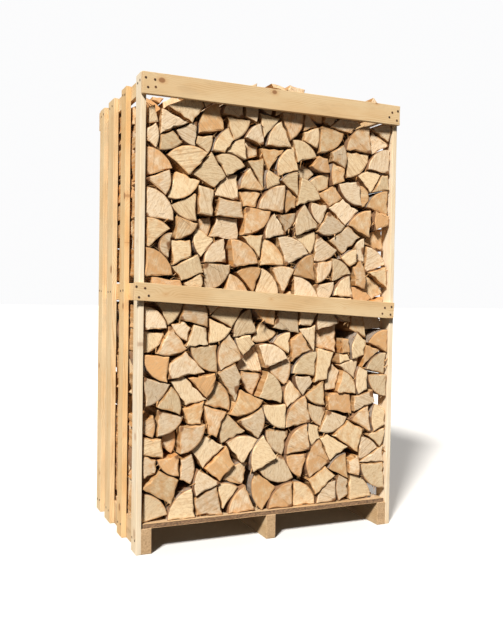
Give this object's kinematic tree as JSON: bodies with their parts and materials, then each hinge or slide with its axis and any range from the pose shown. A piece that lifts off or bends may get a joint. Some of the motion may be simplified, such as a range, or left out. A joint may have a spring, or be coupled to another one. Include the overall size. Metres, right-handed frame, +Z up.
{
  "type": "slatted crate of split birch firewood",
  "caption": "Tall open-fronted slatted pallet crate of sawn softwood, filled to the top with split birch firewood stacked in rows with the cut ends facing out.",
  "frame": {"origin": "on the floor, under the middle of the crate", "axes": "+Z up, -Y out of the open front with its two rails, +X to the right seen from the front"},
  "size_m": [1.3022, 0.8066, 2.03],
  "materials": {
    "slat_softwood": "rough sawn, pale cream",
    "rail_softwood": "rough sawn, warm yellow",
    "base_softwood": "rough sawn, weathered, with bark left on the deck's front edge",
    "split_birch": "sawn ends, split faces and thin bark",
    "nail_steel": "dull, slightly rusted"
  },
  "bodies": {
    "root": {"skid_left": "base_softwood", "skid_middle": "base_softwood", "skid_right": "base_softwood", "deck_board_1": "base_softwood", "deck_board_2": "base_softwood", "deck_board_3": "base_softwood", "deck_board_4": "base_softwood", "deck_board_5": "base_softwood", "deck_board_6": "base_softwood", "deck_board_7": "base_softwood", "slat_left_1": "slat_softwood", "slat_left_2": "slat_softwood", "slat_left_3": "slat_softwood", "slat_left_4": "slat_softwood", "slat_right_1": "slat_softwood", "slat_right_2": "slat_softwood", "slat_right_3": "slat_softwood", "slat_right_4": "slat_softwood", "side_rail_top_left": "slat_softwood", "side_rail_top_right": "slat_softwood", "side_rail_mid_left": "slat_softwood", "side_rail_mid_right": "slat_softwood", "rail_front_top": "rail_softwood", "rail_front_mid": "rail_softwood", "rail_back_top": "rail_softwood", "rail_back_mid": "rail_softwood", "billets_front": "split_birch", "billets_middle": "split_birch", "billets_back": "split_birch"}
  },
  "joints": []
}
